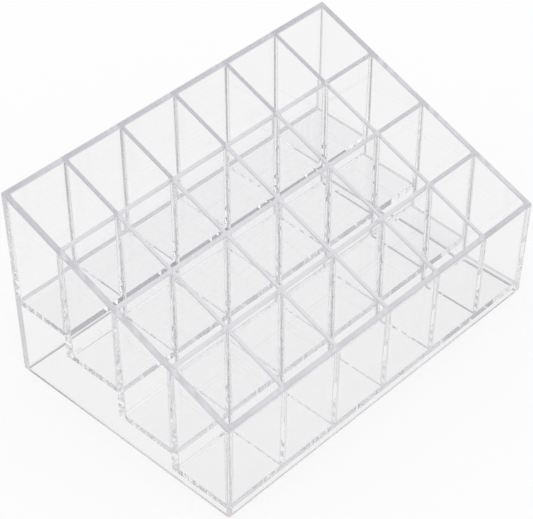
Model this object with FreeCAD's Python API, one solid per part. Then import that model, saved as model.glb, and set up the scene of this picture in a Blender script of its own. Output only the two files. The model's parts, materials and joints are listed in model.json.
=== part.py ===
import FreeCAD, Part
import math
import os
from FreeCAD import Vector

# Stepped organizer of clear sheet for upright lipsticks and other small tubes.
# Four leaning outer walls stand on the table. Inside them, floors step down from the back row
# to the front row, row dividers run along the length, and cross dividers run from front to back.
# Row and cross dividers are slotted into each other by half laps, like the dividers of a bottle crate.
# Millimetres, +X along the length, front towards -Y, +Z up, origin on the table under the middle.

# Overall size, measured at the rim
length = 145.0
depth = 95.6
back_height = 73.9
front_height = 38.1

# Outer walls, which lean outwards as they rise
side_lean_degrees = 0.7
end_lean_degrees = 0.8
side_wall = 2.2
back_wall = 1.9
front_wall = 1.8
corner_radius = 0.5
rim_radius = 0.4

# Compartments
columns = 6
rows = 4

# Row dividers, thin at the rim and thicker at the foot
row_wall_at_rim = 1.4
row_wall_taper_degrees = 0.9

# Cross dividers, of even thickness
cross_wall = 1.6

# Half laps where the dividers cross
lap_share = 0.5
slot_clearance = 0.05

# Floors: heights of their upper faces, and the cove along three sides of each compartment
back_floor_height = 30.6
second_floor_height = 22.0
third_floor_height = 11.5
front_floor_height = 4.5
floor_thickness = 2.25
cove_radius = 1.2
cove_land = 0.15

# Cutting tools run past what they cut by this much
overrun = 3.0

# Points nearer than this to a face lie on it
nearly = 0.004

floor_heights = [back_floor_height, second_floor_height, third_floor_height, front_floor_height]
side_lean = math.tan(math.radians(side_lean_degrees))
end_lean = math.tan(math.radians(end_lean_degrees))
row_wall_taper = math.tan(math.radians(row_wall_taper_degrees))


# Places and spacings

def rim_height(y):
    """Height of the sloping rim plane at y."""
    return front_height + (back_height - front_height) * (y + depth / 2) / depth


def side_face(z, inset):
    """X of a side wall's face at height z, inset from the outside."""
    return length / 2 - inset - (back_height - z) * side_lean


def front_face(z, inset):
    """Y of a front wall's face at height z."""
    return -depth / 2 + inset + (front_height - z) * end_lean


def back_face(z, inset):
    """Y of a back wall's face at height z."""
    return depth / 2 - inset - (back_height - z) * end_lean


inner_length = length - 2 * side_wall
inner_depth = depth - back_wall - front_wall
cell_length = (inner_length - (columns - 1) * cross_wall) / columns
cell_depth = (inner_depth - (rows - 1) * row_wall_at_rim) / rows


def cross_divider_x(number):
    """X of the middle of a cross divider, counted from 1 at the left."""
    return -inner_length / 2 + number * cell_length + (number - 1) * cross_wall + cross_wall / 2


def row_divider_y(number):
    """Y of the middle of a row divider, counted from 1 at the back."""
    rim_back = depth / 2 - back_wall
    return rim_back - number * cell_depth - (number - 1) * row_wall_at_rim - row_wall_at_rim / 2


def row_half_wall(number, z):
    """Half the thickness of a row divider at height z."""
    return row_wall_at_rim / 2 + (rim_height(row_divider_y(number)) - z) * row_wall_taper


def lap_height(number):
    """Height at which a row divider's slots end and the cross dividers' slots begin."""
    low = floor_heights[number - 1]
    return low + (rim_height(row_divider_y(number)) - low) * lap_share


# Solids that the pieces are cut from

def block(x0, x1, y0, y1, z0, z1):
    """Upright box between the given faces."""
    return Part.makeBox(x1 - x0, y1 - y0, z1 - z0, Vector(x0, y0, z0))


def flat_face(corners):
    """Flat face inside the given corners."""
    return Part.Face(Part.makePolygon(corners + corners[:1]))


def prism_along_x(outline, x0, x1):
    """Prism of an outline of (y, z) points."""
    return flat_face([Vector(x0, y, z) for y, z in outline]).extrude(Vector(x1 - x0, 0, 0))


def leaning_block(side_inset, front_inset, back_inset, z0, z1):
    """Block between the four leaning faces, inset from the outside."""
    frames = []
    for z in (z0, z1):
        x = side_face(z, side_inset)
        y0 = front_face(z, front_inset)
        y1 = back_face(z, back_inset)
        frames.append([Vector(-x, y0, z), Vector(x, y0, z), Vector(x, y1, z), Vector(-x, y1, z)])
    low, high = frames
    faces = [flat_face(low[::-1]), flat_face(high)]
    for here in range(4):
        after = (here + 1) % 4
        faces.append(flat_face([low[here], low[after], high[after], high[here]]))
    return Part.Solid(Part.Shell(faces))


def below_the_rim():
    """Everything under the sloping rim plane."""
    y0 = -depth / 2 - overrun
    y1 = depth / 2 + overrun
    outline = [(y0, -overrun), (y1, -overrun), (y1, rim_height(y1)), (y0, rim_height(y0))]
    return prism_along_x(outline, -length / 2 - overrun, length / 2 + overrun)


under_rim = below_the_rim()
top = back_height + overrun
room = leaning_block(side_wall, front_wall, back_wall, -overrun, top).common(under_rim)


def row_blank(number):
    """A row divider before its slots are cut."""
    y = row_divider_y(number)
    foot = floor_heights[number] - floor_thickness
    low = row_half_wall(number, foot)
    high = row_half_wall(number, top)
    outline = [(y - low, foot), (y + low, foot), (y + high, top), (y - high, top)]
    return prism_along_x(outline, -length / 2, length / 2).common(room)


def row_slot(number):
    """The tapered slot that a cross divider needs to drop over a row divider."""
    y = row_divider_y(number)
    lap = lap_height(number)
    low = row_half_wall(number, 0) + slot_clearance
    high = row_half_wall(number, lap) + slot_clearance
    outline = [(y - low, 0), (y + low, 0), (y + high, lap), (y - high, lap)]
    return prism_along_x(outline, -length / 2, length / 2)


# Pieces

def round_edges(shape, radius, wanted):
    """Round the edges whose two ends both pass the test."""
    edges = [edge for edge in shape.Edges if all(wanted(v.Point) for v in edge.Vertexes)]
    return shape.makeFillet(radius, edges)


def on_rim(point):
    """Whether a point lies on the sloping rim plane."""
    return abs(point.z - rim_height(point.y)) < nearly


def side_panels():
    """Left and right panels, which cover the ends of the front and back panels."""
    between = leaning_block(side_wall, -overrun, -overrun, -overrun, top)
    outside = leaning_block(0, 0, 0, 0, top).common(under_rim)
    panels = []
    for panel in sorted(outside.cut(between).Solids, key=lambda solid: solid.CenterOfMass.x):

        def at_outside(point):
            return abs(abs(point.x) - side_face(point.z, 0)) < nearly

        def upright(edge):
            one, other = [v.Point for v in edge.Vertexes]
            rises = abs(one.z - other.z) > abs(one.y - other.y)
            return rises and at_outside(one) and at_outside(other)

        def at_rim(edge):
            ends = [v.Point for v in edge.Vertexes]
            clear_of_inside = [abs(p.x) > side_face(p.z, side_wall) + nearly for p in ends]
            return all(on_rim(p) for p in ends) and any(clear_of_inside)

        panel = panel.makeFillet(corner_radius, [edge for edge in panel.Edges if upright(edge)])
        panels.append(panel.makeFillet(rim_radius, [edge for edge in panel.Edges if at_rim(edge)]))
    return panels


def end_panel(at_back):
    """The back or the front panel, between the side panels."""
    between = leaning_block(side_wall, 0, 0, 0, top).common(under_rim)
    panels = sorted(between.cut(room).Solids, key=lambda solid: solid.CenterOfMass.y)
    panel = panels[-1] if at_back else panels[0]
    face = back_face if at_back else front_face

    def at_outer_rim(point):
        return on_rim(point) and abs(point.y - face(point.z, 0)) < nearly

    return round_edges(panel, rim_radius, at_outer_rim)


def row_divider(number):
    """A row divider with a slot from above for each cross divider."""
    divider = row_blank(number)
    y = row_divider_y(number)
    reach = row_half_wall(number, 0) + overrun
    half = cross_wall / 2 + slot_clearance
    for cross in range(1, columns):
        x = cross_divider_x(cross)
        divider = divider.cut(block(x - half, x + half, y - reach, y + reach, lap_height(number), top))
    return divider


def row_ends(row):
    """Y of the back and front limits of a row, at the middles of the dividers or past the outer walls."""
    back = row_divider_y(row) if row > 0 else depth / 2
    front = row_divider_y(row + 1) if row < rows - 1 else -depth / 2
    return back, front


def cross_divider(number):
    """A cross divider with stepped foot and a slot from below for each row divider."""
    x = cross_divider_x(number)
    plate = room
    for row in range(rows):
        back, front = row_ends(row)
        plate = plate.cut(block(-length, length, front, back, -overrun, floor_heights[row]))
    for row in range(1, rows):
        plate = plate.cut(row_slot(row))
    half = cross_wall / 2
    return plate.common(block(x - half, x + half, -depth, depth, -overrun, top))


def compartment_pan(row, column):
    """The space over a compartment's floor, rounded where the cove runs."""
    level = floor_heights[row]
    left = -side_face(level, side_wall)
    right = side_face(level, side_wall)
    if column > 0:
        left = cross_divider_x(column) + cross_wall / 2
    if column < columns - 1:
        right = cross_divider_x(column + 1) - cross_wall / 2
    if row > 0:
        back = row_divider_y(row) - row_half_wall(row, level)
    else:
        back = back_face(level, back_wall)
    front = row_ends(row)[1] - overrun
    high = level + cove_radius + overrun
    pan = block(left + cove_land, right - cove_land, front, back - cove_land, level, high)

    def coved(edge):
        ends = [v.Point for v in edge.Vertexes]
        low = all(abs(p.z - level) < nearly for p in ends)
        at_front = all(abs(p.y - front) < nearly for p in ends)
        return low and not at_front

    return pan.makeFillet(cove_radius, [edge for edge in pan.Edges if coved(edge)])


def floor(row):
    """The floor of one row, with coves that also hold the feet of the cross dividers."""
    level = floor_heights[row]
    back, front = row_ends(row)
    slab = block(-length, length, front, back, level - floor_thickness, level + cove_radius).common(room)
    for divider in (row, row + 1):
        if 0 < divider < rows:
            slab = slab.cut(row_blank(divider))
    for column in range(columns):
        slab = slab.cut(compartment_pan(row, column))
    half = cross_wall / 2 + slot_clearance
    for cross in range(1, columns):
        x = cross_divider_x(cross)
        slab = slab.cut(block(x - half, x + half, front, back, level, level + cove_radius + overrun))
    return slab


def save(name, shape):
    """Write one piece, which has to be one valid solid."""
    solids = shape.Solids
    if len(solids) != 1 or not shape.isValid():
        raise RuntimeError(f"{name}: {len(solids)} solids, valid {shape.isValid()}")
    solids[0].exportStep(os.path.join("parts", name + ".step"))
    box = solids[0].BoundBox
    print(f"{name}: {box.XLength:.2f} x {box.YLength:.2f} x {box.ZLength:.2f}")
    print(f"    volume {solids[0].Volume:.1f}")


os.makedirs("parts", exist_ok=True)
left_panel, right_panel = side_panels()
save("left_side_panel", left_panel)
save("right_side_panel", right_panel)
save("back_panel", end_panel(True))
save("front_panel", end_panel(False))
for number in range(1, rows):
    save(f"row_divider_{number}", row_divider(number))
for number in range(1, columns):
    save(f"cross_divider_{number}", cross_divider(number))
for row in range(rows):
    save(f"floor_{row + 1}", floor(row))
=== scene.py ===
# Clear stepped organizer for upright lipsticks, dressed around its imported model.
# One clear body is made first: an outer block, less 24 compartments and the space under the floors.
# Each wall, divider and floor is then cut out of it, and is its own closed piece.
import json
import math

import bmesh
import bpy
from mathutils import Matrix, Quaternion, Vector

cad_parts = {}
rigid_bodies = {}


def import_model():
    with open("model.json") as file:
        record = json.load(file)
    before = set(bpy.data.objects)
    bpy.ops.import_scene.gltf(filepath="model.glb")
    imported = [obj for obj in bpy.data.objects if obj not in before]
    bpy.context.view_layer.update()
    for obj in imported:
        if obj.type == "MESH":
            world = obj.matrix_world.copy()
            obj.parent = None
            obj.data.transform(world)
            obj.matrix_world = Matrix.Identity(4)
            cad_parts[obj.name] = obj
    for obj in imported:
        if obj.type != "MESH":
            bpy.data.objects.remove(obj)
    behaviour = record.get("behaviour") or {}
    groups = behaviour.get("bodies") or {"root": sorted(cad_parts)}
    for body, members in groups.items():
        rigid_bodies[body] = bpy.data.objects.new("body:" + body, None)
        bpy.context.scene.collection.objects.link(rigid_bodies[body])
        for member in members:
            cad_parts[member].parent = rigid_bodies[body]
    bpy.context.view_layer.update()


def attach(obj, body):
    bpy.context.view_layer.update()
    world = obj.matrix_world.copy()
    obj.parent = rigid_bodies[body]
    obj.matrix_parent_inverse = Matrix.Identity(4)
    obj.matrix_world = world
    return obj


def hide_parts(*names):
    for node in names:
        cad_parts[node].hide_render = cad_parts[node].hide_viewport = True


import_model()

scene = bpy.context.scene
mm = 0.001
nearly = 0.001


# Outside of the organizer, in millimetres and degrees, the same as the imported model's

body = {
    "length": 145.0, "depth": 95.6, "backHeight": 73.9, "frontHeight": 38.1,
    "sideLean": 0.7, "endLean": 0.8,
    "sideWall": 2.2, "backWall": 1.9, "frontWall": 1.8,
    "cornerRadius": 0.5, "cornerSegments": 5,
    "rimRadius": 0.42, "rimSegments": 4,
    "footRadius": 0.25, "footSegments": 3, "footShare": 0.98,
    "underRadius": 0.05, "underSegments": 2, "overrun": 4.0,
}
sideLean = math.tan(math.radians(body["sideLean"]))
endLean = math.tan(math.radians(body["endLean"]))
rimSlope = (body["backHeight"] - body["frontHeight"]) / body["depth"]


def rimHeight(y):
    return body["frontHeight"] + rimSlope * (y + body["depth"] / 2)


def sideFace(z, inset):
    return body["length"] / 2 - inset - (body["backHeight"] - z) * sideLean


def frontFace(z, inset):
    return -body["depth"] / 2 + inset + (body["frontHeight"] - z) * endLean


def backFace(z, inset):
    return body["depth"] / 2 - inset - (body["backHeight"] - z) * endLean


# The grid of compartments

grid = {
    "columns": 6, "rows": 4,
    "rowWall": 1.4, "rowTaper": 0.9,
    "crossWall": 1.6,
    "floors": [30.6, 22.0, 11.5, 4.5], "floorThickness": 2.25,
    "lapShare": 0.5,
}
rowTaper = math.tan(math.radians(grid["rowTaper"]))
innerLength = body["length"] - 2 * body["sideWall"]
innerDepth = body["depth"] - body["backWall"] - body["frontWall"]
cellLength = (innerLength - (grid["columns"] - 1) * grid["crossWall"]) / grid["columns"]
cellDepth = (innerDepth - (grid["rows"] - 1) * grid["rowWall"]) / grid["rows"]
pitch = cellLength + grid["crossWall"]


def crossX(number):
    return -innerLength / 2 + number * pitch - grid["crossWall"] / 2


def rowY(number):
    rimBack = body["depth"] / 2 - body["backWall"]
    return rimBack - number * cellDepth - (number - 0.5) * grid["rowWall"]


def rowHalf(number, z):
    return grid["rowWall"] / 2 + (rimHeight(rowY(number)) - z) * rowTaper


def lapHeight(number):
    low = grid["floors"][number - 1]
    return low + (rimHeight(rowY(number)) - low) * grid["lapShare"]


# Y of the walls behind and before a row, moved into the row by the margin
def backLimit(row, z, margin=0.0):
    if row == 0:
        return backFace(z, body["backWall"]) - margin
    return rowY(row) - rowHalf(row, z) - margin


def frontLimit(row, z, margin=0.0):
    if row == grid["rows"] - 1:
        return frontFace(z, body["frontWall"]) + margin
    return rowY(row + 1) + rowHalf(row + 1, z) + margin


# Clear plastic, and the cement that lets light pass where two pieces meet

def calcIn(tree, operation, *values):
    node = tree.nodes.new("ShaderNodeMath")
    node.operation = operation
    for socket, value in zip(node.inputs, values):
        if isinstance(value, bpy.types.NodeSocket):
            tree.links.new(value, socket)
        else:
            socket.default_value = value
    return node.outputs[0]


def blendIn(tree, factor, one, other):
    node = tree.nodes.new("ShaderNodeMix")
    node.data_type = "RGBA"
    tree.links.new(factor, node.inputs["Factor"])
    for name, value in (("A", one), ("B", other)):
        socket = next(s for s in node.inputs if s.name == name and s.type == "RGBA")
        if isinstance(value, bpy.types.NodeSocket):
            tree.links.new(value, socket)
        else:
            socket.default_value = (*value, 1)
    return next(s for s in node.outputs if s.type == "RGBA")


def rampIn(tree, value, start, end, low=0.0, high=1.0):
    node = tree.nodes.new("ShaderNodeMapRange")
    node.interpolation_type = "SMOOTHSTEP"
    tree.links.new(value, node.inputs["Value"])
    for name, number in (("From Min", start), ("From Max", end), ("To Min", low), ("To Max", high)):
        node.inputs[name].default_value = number
    return node.outputs["Result"]


def newMaterial(name):
    material = bpy.data.materials.new(name)
    material.use_nodes = True
    tree = material.node_tree
    return material, tree, tree.nodes["Principled BSDF"], tree.nodes.new("ShaderNodeTexCoord")


# A noise pattern on the piece, in cycles to the metre, moved and turned by a Mapping node
def patternIn(tree, place, scale, detail=2.0, turn=0.6):
    mapping = tree.nodes.new("ShaderNodeMapping")
    mapping.inputs["Location"].default_value = (0.031, 0.017, 0.008)
    mapping.inputs["Rotation"].default_value = (turn, turn * 0.7, turn * 1.3)
    tree.links.new(place.outputs["Object"], mapping.inputs["Vector"])
    noise = tree.nodes.new("ShaderNodeTexNoise")
    noise.inputs["Scale"].default_value = scale
    noise.inputs["Detail"].default_value = detail
    tree.links.new(mapping.outputs["Vector"], noise.inputs["Vector"])
    return noise.outputs["Fac"]


polish = {
    "ior": 1.49, "transmission": 1.0,
    "clear": (0.997, 0.997, 0.998), "flow": (0.99, 0.99, 0.994), "flowScale": 45.0,
    # The rim colour is painted shade: a lavender grey laid on the rims for the shade they take from
    # light inside the walls
    "rimPaintedShade": (0.83, 0.83, 0.89), "rimReach": (0.00015, 0.0007),
    "rimRoughness": 0.28, "rimGrain": 700.0, "rimGrainShare": 0.08,
    "waveScale": 60.0, "waveHeight": 0.000008,
}


def clearPlastic():
    material, tree, shader, place = newMaterial("clearPlastic")
    shader.inputs["IOR"].default_value = polish["ior"]
    shader.inputs["Transmission Weight"].default_value = polish["transmission"]
    parts = tree.nodes.new("ShaderNodeSeparateXYZ")
    tree.links.new(place.outputs["Object"], parts.inputs[0])

    # How far under the sloping rim plane a spot lies
    rise = calcIn(tree, "MULTIPLY", parts.outputs["Y"], rimSlope)
    rimZ = calcIn(tree, "ADD", rise, rimHeight(0.0) * mm)
    under = calcIn(tree, "SUBTRACT", rimZ, parts.outputs["Z"])
    rim = rampIn(tree, under, *polish["rimReach"], 1.0, 0.0)

    # Faint flow marks in the sheet; on the rims, a lavender-grey painted shade and a satin grain
    marks = patternIn(tree, place, polish["flowScale"])
    flow = blendIn(tree, marks, polish["clear"], polish["flow"])
    tree.links.new(blendIn(tree, rim, flow, polish["rimPaintedShade"]), shader.inputs["Base Color"])
    grain = patternIn(tree, place, polish["rimGrain"], 1.0)
    grain = calcIn(tree, "MULTIPLY_ADD", grain, polish["rimGrainShare"], polish["rimRoughness"])
    tree.links.new(calcIn(tree, "MULTIPLY", rim, grain), shader.inputs["Roughness"])

    # The polished faces are very slightly wavy
    wave = tree.nodes.new("ShaderNodeBump")
    wave.inputs["Distance"].default_value = polish["waveHeight"]
    tree.links.new(patternIn(tree, place, polish["waveScale"], 1.0), wave.inputs["Height"])
    tree.links.new(wave.outputs["Normal"], shader.inputs["Normal"])
    return material


film = {"colour": (1.0, 1.0, 1.0), "haze": (0.0, 0.02), "spread": (0.55, 0.75), "scale": 420.0}


# Clear cement, with a trace of fine bubbles here and there
def cementFilm(name, look):
    material, tree, shader, place = newMaterial(name)
    shader.inputs["Base Color"].default_value = (*look["colour"], 1)
    shader.inputs["IOR"].default_value = 1.0
    shader.inputs["Roughness"].default_value = 1.0
    pattern = patternIn(tree, place, look["scale"], 1.0)
    bubbles = rampIn(tree, pattern, *look["spread"], *look["haze"])
    tree.links.new(bubbles, shader.inputs["Alpha"])
    return material


# The fillets' greys are painted shade: dark lines where walls, dividers and floors meet
filletShadeAndPolish = {
    "light": (0.73, 0.73, 0.74), "dark": (0.68, 0.68, 0.69), "transmission": 1.0,
    "roughness": (0.0, 0.05), "scale": 260.0, "spread": (0.3, 0.7),
}
cove = {
    "light": (1.0, 1.0, 1.0), "dark": (0.97, 0.97, 0.98), "transmission": 1.0,
    "roughness": (0.0, 0.03), "scale": 180.0, "spread": (0.3, 0.7),
}
# The foot's greys are painted contact shade along the table, with a rougher finish
foot = {
    "light": (0.63, 0.63, 0.66), "dark": (0.56, 0.56, 0.59), "transmission": 1.0,
    "roughness": (0.15, 0.25), "scale": 220.0, "spread": (0.3, 0.7),
}


# The small radii take less polish than the flat faces, unevenly along their run; their light and dark
# greys are painted shade on the fillets and the foot, and stay almost clear on the coves
def radiusPlastic(name, look):
    material, tree, shader, place = newMaterial(name)
    shader.inputs["IOR"].default_value = polish["ior"]
    shader.inputs["Transmission Weight"].default_value = look["transmission"]
    uneven = rampIn(tree, patternIn(tree, place, look["scale"]), *look["spread"])
    colour = blendIn(tree, uneven, look["light"], look["dark"])
    tree.links.new(colour, shader.inputs["Base Color"])
    low, high = look["roughness"]
    roughness = calcIn(tree, "MULTIPLY_ADD", uneven, high - low, low)
    tree.links.new(roughness, shader.inputs["Roughness"])
    return material


plastic = clearPlastic()
cement = cementFilm("jointCement", film)
materials = [plastic, cement]
materials += [radiusPlastic("filletShadeAndPolish", filletShadeAndPolish), radiusPlastic("cove", cove), radiusPlastic("foot", foot)]
plasticSlot, cementSlot, filletShadeSlot, coveSlot, footShadeSlot = range(len(materials))
print("materials:", len(materials))


# Meshes from corners in millimetres

def meshObject(name, corners, faces, slot=plasticSlot):
    mesh = bpy.data.meshes.new(name)
    mesh.from_pydata([Vector(c) * mm for c in corners], [], faces)
    for material in materials:
        mesh.materials.append(material)
    made = bmesh.new()
    made.from_mesh(mesh)
    bmesh.ops.recalc_face_normals(made, faces=made.faces)
    for face in made.faces:
        face.material_index = slot
    made.to_mesh(mesh)
    made.free()
    piece = bpy.data.objects.new(name, mesh)
    scene.collection.objects.link(piece)
    return piece


# A solid between two outlines of as many corners each
def solidBetween(name, one, other, slot=plasticSlot):
    count = len(one)
    faces = [list(range(count))[::-1], list(range(count, 2 * count))]
    for here in range(count):
        after = (here + 1) % count
        faces.append([here, after, count + after, count + here])
    return meshObject(name, list(one) + list(other), faces, slot)


def keepResult(piece):
    depsgraph = bpy.context.evaluated_depsgraph_get()
    made = bpy.data.meshes.new_from_object(piece.evaluated_get(depsgraph))
    piece.modifiers.clear()
    old = piece.data
    piece.data = made
    bpy.data.meshes.remove(old)
    return piece


def cutWith(piece, tool, operation="DIFFERENCE"):
    modifier = piece.modifiers.new("cut", "BOOLEAN")
    modifier.operation = operation
    modifier.object = tool
    modifier.solver = "EXACT"
    keepResult(piece)
    return piece


def dropObject(piece):
    mesh = piece.data
    bpy.data.objects.remove(piece)
    bpy.data.meshes.remove(mesh)


def roundEdges(piece, wanted, radius, segments):
    made = bmesh.new()
    made.from_mesh(piece.data)
    edges = [e for e in made.edges if wanted(*[v.co / mm for v in e.verts])]
    bmesh.ops.bevel(
        made, geom=edges, offset=radius * mm, segments=segments, profile=0.5,
        affect="EDGES", clamp_overlap=True,
    )
    made.to_mesh(piece.data)
    made.free()


# The outer block, with round upright corners and a softened rim and foot

def outerBlock():
    low, high = [], []
    for x, atBack in ((-1, False), (1, False), (1, True), (-1, True)):
        low.append((x * sideFace(0, 0), backFace(0, 0) if atBack else frontFace(0, 0), 0))
        top = body["backHeight"] if atBack else body["frontHeight"]
        high.append((x * sideFace(top, 0), body["depth"] / 2 * (1 if atBack else -1), top))
    block = solidBetween("outerBlock", low, high)

    def upright(a, b):
        return abs(a.z - b.z) > abs(a.y - b.y)

    def onRim(a, b):
        return all(abs(p.z - rimHeight(p.y)) < nearly for p in (a, b))

    def onTable(a, b):
        return all(abs(p.z) < nearly for p in (a, b))

    roundEdges(block, upright, body["cornerRadius"], body["cornerSegments"])
    roundEdges(block, onRim, body["rimRadius"], body["rimSegments"])
    roundEdges(block, onTable, body["footRadius"], body["footSegments"])

    # The rounded foot takes a darker grey, painted contact shade where it meets the table; the foot at
    # the back stays as clear as the walls
    for polygon in block.data.polygons:
        at = polygon.center / mm
        if at.z < body["footRadius"] and at.y < body["depth"] / 2 * body["footShare"]:
            polygon.material_index = footShadeSlot
    return block


# The open space under the floors, which steps down towards the front

def underFloors():
    below = -body["overrun"]
    outline = [(backFace(below, body["backWall"]), below)]
    for row in range(grid["rows"]):
        under = grid["floors"][row] - grid["floorThickness"]
        if row == 0:
            outline.append((backFace(under, body["backWall"]), under))
        else:
            outline.append((rowY(row) + rowHalf(row, under), under))
        outline.append((frontLimit(row, under), under))
    outline.append((frontFace(below, body["frontWall"]), below))
    left = [(-sideFace(z, body["sideWall"]), y, z) for y, z in outline]
    right = [(sideFace(z, body["sideWall"]), y, z) for y, z in outline]
    space = solidBetween("underFloors", left, right)
    soften = space.modifiers.new("soften", "BEVEL")
    soften.limit_method = "NONE"
    soften.width = body["underRadius"] * mm
    soften.segments = body["underSegments"]
    soften.use_clamp_overlap = False
    return keepResult(space)


# One row of compartments: a rounded cutter that widens above the rim, repeated along the length

pocket = {
    "uprightRadius": 0.62, "rearRadius": 1.2, "sideRadius": 0.05, "frontRadius": 0.3, "lipRadius": 0.4,
    "segments": 4, "headMargin": 0.6, "headHeight": 6.0, "rimGap": 0.002,
    "coveReach": 1.05, "level": 0.99,
}


# Height just over the rim at which a leaning wall face, given as y for z, comes out
def meetRim(limit):
    low, high = limit(0.0), limit(1.0)
    lean = high - low
    base = rimHeight(0.0) + pocket["rimGap"]
    return (base + rimSlope * low) / (1 - rimSlope * lean)


def compartmentCutter(row):
    floor = grid["floors"][row]
    zBack = meetRim(lambda z: backLimit(row, z))
    zFront = meetRim(lambda z: frontLimit(row, z))
    yBack, yFront = backLimit(row, zBack), frontLimit(row, zFront)
    half = cellLength / 2
    margin = pocket["headMargin"]
    wide = half + margin
    rise = margin * rimSlope
    rings = [
        [(-half, frontLimit(row, floor), floor), (half, frontLimit(row, floor), floor),
         (half, backLimit(row, floor), floor), (-half, backLimit(row, floor), floor)],
        [(-half, yFront, zFront), (half, yFront, zFront), (half, yBack, zBack), (-half, yBack, zBack)],
        [(-wide, yFront - margin, zFront - rise), (wide, yFront - margin, zFront - rise),
         (wide, yBack + margin, zBack + rise), (-wide, yBack + margin, zBack + rise)],
    ]
    rings.append([(x, y, z + pocket["headHeight"]) for x, y, z in rings[2]])
    corners = [c for ring in rings for c in ring]
    faces = [[3, 2, 1, 0], [12, 13, 14, 15]]
    for level in range(3):
        for here in range(4):
            after = (here + 1) % 4
            low, high = 4 * level, 4 * level + 4
            faces.append([low + here, low + after, high + after, high + here])
    cutter = meshObject(f"compartmentCutter{row + 1}", corners, faces)
    rounded = {}
    for here in range(4):
        after = (here + 1) % 4
        rounded[frozenset((here, here + 4))] = pocket["uprightRadius"]
        rounded[frozenset((4 + here, 4 + after))] = pocket["lipRadius"]
    rounded[frozenset((0, 1))] = pocket["frontRadius"]
    rounded[frozenset((1, 2))] = pocket["sideRadius"]
    rounded[frozenset((2, 3))] = pocket["rearRadius"]
    rounded[frozenset((3, 0))] = pocket["sideRadius"]
    largest = max(rounded.values())
    weights = cutter.data.attributes.new("bevel_weight_edge", "FLOAT", "EDGE")
    for edge in cutter.data.edges:
        weights.data[edge.index].value = rounded.get(frozenset(edge.vertices), 0) / largest
    bevel = cutter.modifiers.new("soften", "BEVEL")
    bevel.limit_method = "WEIGHT"
    bevel.width = largest * mm
    bevel.segments = pocket["segments"]
    bevel.use_clamp_overlap = False
    # The rounded edges of the cutter take the fillets' painted shade
    bevel.material = filletShadeSlot
    keepResult(cutter)

    # The lips and the floor's side edges are as clear as the walls
    reach = pocket["rearRadius"] * pocket["coveReach"]
    for polygon in cutter.data.polygons:
        at = polygon.center / mm
        inside = abs(at.x) < half - pocket["sideRadius"]
        outside = abs(at.x) > half - pocket["sideRadius"]
        if at.z > rimHeight(at.y) - 2 * pocket["lipRadius"]:
            polygon.material_index = plasticSlot
        elif polygon.material_index == filletShadeSlot:
            if at.z < floor + reach and at.y > backLimit(row, floor) - reach:
                if inside:
                    polygon.material_index = coveSlot
            elif at.z < floor + pocket["sideRadius"] and outside:
                polygon.material_index = plasticSlot
    return cutter


def compartmentRowTree():
    tree = bpy.data.node_groups.new("compartmentRow", "GeometryNodeTree")
    face = tree.interface
    face.new_socket("Geometry", in_out="INPUT", socket_type="NodeSocketGeometry")
    face.new_socket("Columns", in_out="INPUT", socket_type="NodeSocketInt")
    for name in ("Pitch", "Cell Length", "Outer Edge", "Lean", "Back Height"):
        face.new_socket(name, in_out="INPUT", socket_type="NodeSocketFloat")
    face.new_socket("Geometry", in_out="OUTPUT", socket_type="NodeSocketGeometry")
    nodes, link = tree.nodes, tree.links.new
    given = nodes.new("NodeGroupInput")
    result = nodes.new("NodeGroupOutput")

    def calc(operation, *values):
        return calcIn(tree, operation, *values)

    # A point for each column, centred on the middle
    line = nodes.new("GeometryNodeMeshLine")
    line.mode = "OFFSET"
    link(given.outputs["Columns"], line.inputs["Count"])
    start = nodes.new("ShaderNodeCombineXYZ")
    step = nodes.new("ShaderNodeCombineXYZ")
    gaps = calc("SUBTRACT", given.outputs["Columns"], 1.0)
    link(calc("MULTIPLY", calc("MULTIPLY", gaps, given.outputs["Pitch"]), -0.5), start.inputs[0])
    link(given.outputs["Pitch"], step.inputs[0])
    link(start.outputs[0], line.inputs["Start Location"])
    link(step.outputs[0], line.inputs["Offset"])
    copies = nodes.new("GeometryNodeInstanceOnPoints")
    link(line.outputs["Mesh"], copies.inputs["Points"])
    link(given.outputs["Geometry"], copies.inputs["Instance"])
    real = nodes.new("GeometryNodeRealizeInstances")
    link(copies.outputs["Instances"], real.inputs["Geometry"])

    # The two end compartments lean with the side panels
    place = nodes.new("GeometryNodeInputPosition")
    parts = nodes.new("ShaderNodeSeparateXYZ")
    link(place.outputs[0], parts.inputs[0])
    fromMiddle = calc("ABSOLUTE", parts.outputs["X"])
    past = calc("SUBTRACT", fromMiddle, given.outputs["Outer Edge"])
    share = calc("DIVIDE", past, given.outputs["Cell Length"])
    drop = calc("SUBTRACT", given.outputs["Back Height"], parts.outputs["Z"])
    shift = calc("MULTIPLY", calc("MULTIPLY", drop, given.outputs["Lean"]), share)
    signed = calc("MULTIPLY", calc("MULTIPLY", calc("SIGN", parts.outputs["X"]), shift), -1.0)
    move = nodes.new("ShaderNodeCombineXYZ")
    link(signed, move.inputs[0])
    lean = nodes.new("GeometryNodeSetPosition")
    link(real.outputs["Geometry"], lean.inputs["Geometry"])
    link(calc("GREATER_THAN", past, 0.0), lean.inputs["Selection"])
    link(move.outputs[0], lean.inputs["Offset"])
    number = nodes.new("GeometryNodeInputMaterialIndex")
    finish = nodes.new("GeometryNodeSetMaterial")
    finish.inputs["Material"].default_value = plastic
    link(lean.outputs["Geometry"], finish.inputs["Geometry"])
    link(calc("LESS_THAN", number.outputs[0], 0.5), finish.inputs["Selection"])
    link(finish.outputs["Geometry"], result.inputs["Geometry"])
    return tree


def setInputs(modifier, values):
    items = modifier.node_group.interface.items_tree
    sockets = {item.name: item.identifier for item in items if item.in_out == "INPUT"}
    for name, value in values.items():
        modifier[sockets[name]] = value


rowTree = compartmentRowTree()


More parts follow.
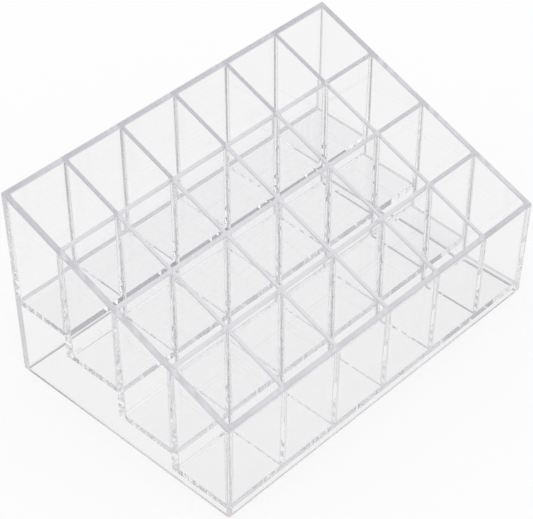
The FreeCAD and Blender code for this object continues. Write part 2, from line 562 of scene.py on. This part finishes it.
def compartmentRow(row):
    cutter = compartmentCutter(row)
    repeat = cutter.modifiers.new("row", "NODES")
    repeat.node_group = rowTree
    setInputs(repeat, {
        "Columns": grid["columns"], "Pitch": pitch * mm, "Cell Length": cellLength * mm,
        "Outer Edge": (innerLength / 2 - cellLength) * mm, "Lean": sideLean,
        "Back Height": body["backHeight"] * mm,
    })
    keepResult(cutter)

    # Only along the side panels do the floor's side radii take the fillets' painted shade, which shows
    # as dark lines
    floor = grid["floors"][row]
    rear = backLimit(row, floor) - pocket["rearRadius"]
    side = sideFace(floor, body["sideWall"]) - pocket["sideRadius"]
    for polygon in cutter.data.polygons:
        at = polygon.center / mm
        low = at.z < floor + pocket["sideRadius"] and abs(polygon.normal.z) < pocket["level"]
        if low and at.y < rear and abs(at.x) > side:
            polygon.material_index = filletShadeSlot
    return cutter


def clearBody():
    made = outerBlock()
    space = underFloors()
    cutWith(made, space)
    dropObject(space)
    for row in range(grid["rows"]):
        cutter = compartmentRow(row)
        cutWith(made, cutter)
        dropObject(cutter)
    print("clear body:", len(made.data.polygons), "faces")
    return made


# Where one piece ends and the next begins: a little past the joint and the small radii of its corners

share = {"margin": 0.6, "past": 5.0, "footCut": 0.1, "floorRise": 2.0}
above = body["backHeight"] + share["past"]
below = -share["past"]


def sideShare(left):
    sign = -1 if left else 1
    inner, outer = [], []
    ends = body["depth"] / 2 + share["past"]
    for y, z in ((-ends, below), (ends, below), (ends, above), (-ends, above)):
        inner.append((sign * sideFace(z, body["sideWall"] + share["margin"]), y, z))
        outer.append((sign * (body["length"] / 2 + share["past"]), y, z))
    return solidBetween("share", inner, outer, cementSlot)


def endShare(atBack):
    inner, outer = [], []
    for sign, z in ((-1, below), (1, below), (1, above), (-1, above)):
        x = sign * sideFace(z, body["sideWall"] + share["margin"])
        if atBack:
            inner.append((x, backLimit(0, z, share["margin"]), z))
            outer.append((x, body["depth"] / 2 + share["past"], z))
        else:
            inner.append((x, frontLimit(grid["rows"] - 1, z, share["margin"]), z))
            outer.append((x, -body["depth"] / 2 - share["past"], z))
    return solidBetween("share", inner, outer, cementSlot)


# An end of -1 or 1 stands for the joint with a side panel, which leans
def shareX(x, z):
    if abs(x) == 1:
        return x * sideFace(z, body["sideWall"] + share["margin"])
    return x


def rowShare(number):
    half = grid["crossWall"] / 2 + share["margin"]
    lap = lapHeight(number)
    outline = [(-1, below), (1, below), (1, above)]
    for cross in range(grid["columns"] - 1, 0, -1):
        x = crossX(cross)
        outline += [(x + half, above), (x + half, lap), (x - half, lap), (x - half, above)]
    outline.append((-1, above))
    near, far = [], []
    for x, z in outline:
        reach = rowHalf(number, z) + share["margin"]
        near.append((shareX(x, z), rowY(number) - reach, z))
        far.append((shareX(x, z), rowY(number) + reach, z))
    return solidBetween("share", near, far, cementSlot)


def crossShare(number):
    lastRow = grid["rows"] - 1
    outline = [(frontLimit(lastRow, above, share["margin"]), above)]
    for row in range(lastRow, -1, -1):
        foot = grid["floors"][row] - share["footCut"]
        if row < lastRow:
            lap = lapHeight(row + 1)
            reach = rowHalf(row + 1, lap) + share["margin"]
            outline += [(rowY(row + 1) - reach, lap), (rowY(row + 1) + reach, lap)]
        outline.append((frontLimit(row, foot, share["margin"]), foot))
        outline.append((backLimit(row, foot, share["margin"]), foot))
    outline.append((backLimit(0, above, share["margin"]), above))
    half = grid["crossWall"] / 2 + share["margin"]
    left = [(crossX(number) - half, y, z) for y, z in outline]
    right = [(crossX(number) + half, y, z) for y, z in outline]
    return solidBetween("share", left, right, cementSlot)


def floorShare(row):
    half = grid["crossWall"] / 2 + share["margin"]
    level = grid["floors"][row]
    low = level - grid["floorThickness"] - share["footCut"]
    top = level + share["floorRise"]
    foot = level - share["footCut"]
    outline = [(-1, low), (1, low), (1, top)]
    for cross in range(grid["columns"] - 1, 0, -1):
        x = crossX(cross)
        outline += [(x + half, top), (x + half, foot), (x - half, foot), (x - half, top)]
    outline.append((-1, top))
    near = [(shareX(x, z), frontLimit(row, z, share["margin"]), z) for x, z in outline]
    far = [(shareX(x, z), backLimit(row, z, share["margin"]), z) for x, z in outline]
    return solidBetween("share", near, far, cementSlot)


def cutPiece(name, node, whole, region):
    cutWith(region, whole, "INTERSECT")
    region.name = name
    region.data.name = name
    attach(region, "root")
    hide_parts(node)


def organizer():
    whole = clearBody()
    cutPiece("left_side_wall", "left_side_panel", whole, sideShare(True))
    cutPiece("right_side_wall", "right_side_panel", whole, sideShare(False))
    cutPiece("back_wall", "back_panel", whole, endShare(True))
    cutPiece("front_wall", "front_panel", whole, endShare(False))
    print("outer walls cut")
    for number in range(1, grid["rows"]):
        cutPiece(f"row_wall_{number}", f"row_divider_{number}", whole, rowShare(number))
    for number in range(1, grid["columns"]):
        cutPiece(f"cross_wall_{number}", f"cross_divider_{number}", whole, crossShare(number))
    print("dividers cut")
    for row in range(grid["rows"]):
        cutPiece(f"shelf_{row + 1}", f"floor_{row + 1}", whole, floorShare(row))
    print("floors cut")
    dropObject(whole)


organizer()


# Floor, light and camera

studio = {
    "tableSize": 3.0, "tableDrop": 0.0002, "backdrop": (1.0, 1.0, 1.0),
    "tableColour": (0.2, 0.2, 0.2), "cameraLift": 0.81,
    "throughColour": (0.08, 0.08, 0.08), "throughLift": 0.855,
    "skyColour": (1.0, 1.0, 1.0), "darkColour": (0.3, 0.3, 0.34),
    "deepColour": (0.58, 0.58, 0.61), "deepSky": (0.72, 0.72, 0.74), "deepAfter": (6.0, 36.0),
    "darkSide": (0.56, 0.52, 0.65), "darkReach": (0.85, 0.95),
}


# Seen straight it is almost white, seen through the plastic a little greyer
def tableTop():
    size = studio["tableSize"]
    corners = [(-size, -size, 0), (size, -size, 0), (size, size, 0), (-size, size, 0)]
    mesh = bpy.data.meshes.new("tableTop")
    mesh.from_pydata(corners, [], [[0, 1, 2, 3]])
    top = bpy.data.objects.new("tableTop", mesh)
    scene.collection.objects.link(top)
    material = bpy.data.materials.new("paleTable")
    material.use_nodes = True
    tree = material.node_tree
    nodes, link = tree.nodes, tree.links.new
    nodes.clear()
    out = nodes.new("ShaderNodeOutputMaterial")
    path = nodes.new("ShaderNodeLightPath")
    diffuse = nodes.new("ShaderNodeBsdfDiffuse")
    seen = path.outputs["Is Camera Ray"]
    colour = blendIn(tree, seen, studio["throughColour"], studio["tableColour"])
    link(colour, diffuse.inputs["Color"])
    glow = nodes.new("ShaderNodeEmission")
    deep = rampIn(tree, path.outputs["Ray Depth"], *studio["deepAfter"])
    through = blendIn(tree, deep, (studio["throughLift"],) * 3, studio["deepColour"])
    link(blendIn(tree, seen, through, (studio["cameraLift"],) * 3), glow.inputs["Color"])
    add = nodes.new("ShaderNodeAddShader")
    link(diffuse.outputs[0], add.inputs[0])
    link(glow.outputs[0], add.inputs[1])
    link(add.outputs[0], out.inputs["Surface"])
    mesh.materials.append(material)
    top.location.z = -studio["tableDrop"]


# A white room with one grey patch behind the organizer, greyer for light that met many faces
def studioWorld():
    world = bpy.data.worlds.new("studio")
    scene.world = world
    world.use_nodes = True
    tree = world.node_tree
    background = tree.nodes["Background"]
    place = tree.nodes.new("ShaderNodeTexCoord")
    facing = tree.nodes.new("ShaderNodeVectorMath")
    facing.operation = "DOT_PRODUCT"
    tree.links.new(place.outputs["Generated"], facing.inputs[0])
    facing.inputs[1].default_value = Vector(studio["darkSide"]).normalized()
    dark = rampIn(tree, facing.outputs["Value"], *studio["darkReach"])
    around = blendIn(tree, dark, studio["skyColour"], studio["darkColour"])
    path = tree.nodes.new("ShaderNodeLightPath")
    deep = rampIn(tree, path.outputs["Ray Depth"], *studio["deepAfter"])
    around = blendIn(tree, deep, around, studio["deepSky"])
    around = blendIn(tree, path.outputs["Is Camera Ray"], around, studio["backdrop"])
    tree.links.new(around, background.inputs["Color"])


view = {
    "place": (-0.335688, -0.310551, 0.431971),
    "turn": (0.837485, 0.3778529, -0.1648291, -0.3587164),
    "lens": 126.13669, "sensor": 36.0, "nearest": 0.01,
    "clearBounces": 400, "diffuseBounces": 32,
}


def photoCamera():
    lens = bpy.data.cameras.new("photoCamera")
    lens.sensor_width = view["sensor"]
    lens.lens = view["lens"]
    lens.clip_start = view["nearest"]
    camera = bpy.data.objects.new("photoCamera", lens)
    scene.collection.objects.link(camera)
    camera.rotation_mode = "QUATERNION"
    camera.location = view["place"]
    camera.rotation_quaternion = Quaternion(view["turn"])
    scene.camera = camera


tableTop()
studioWorld()
photoCamera()
scene.view_settings.view_transform = "Standard"
scene.cycles.max_bounces = view["clearBounces"]
scene.cycles.transmission_bounces = view["clearBounces"]
scene.cycles.glossy_bounces = view["clearBounces"]
scene.cycles.transparent_max_bounces = view["clearBounces"]
scene.cycles.diffuse_bounces = view["diffuseBounces"]
print("stage and camera set")
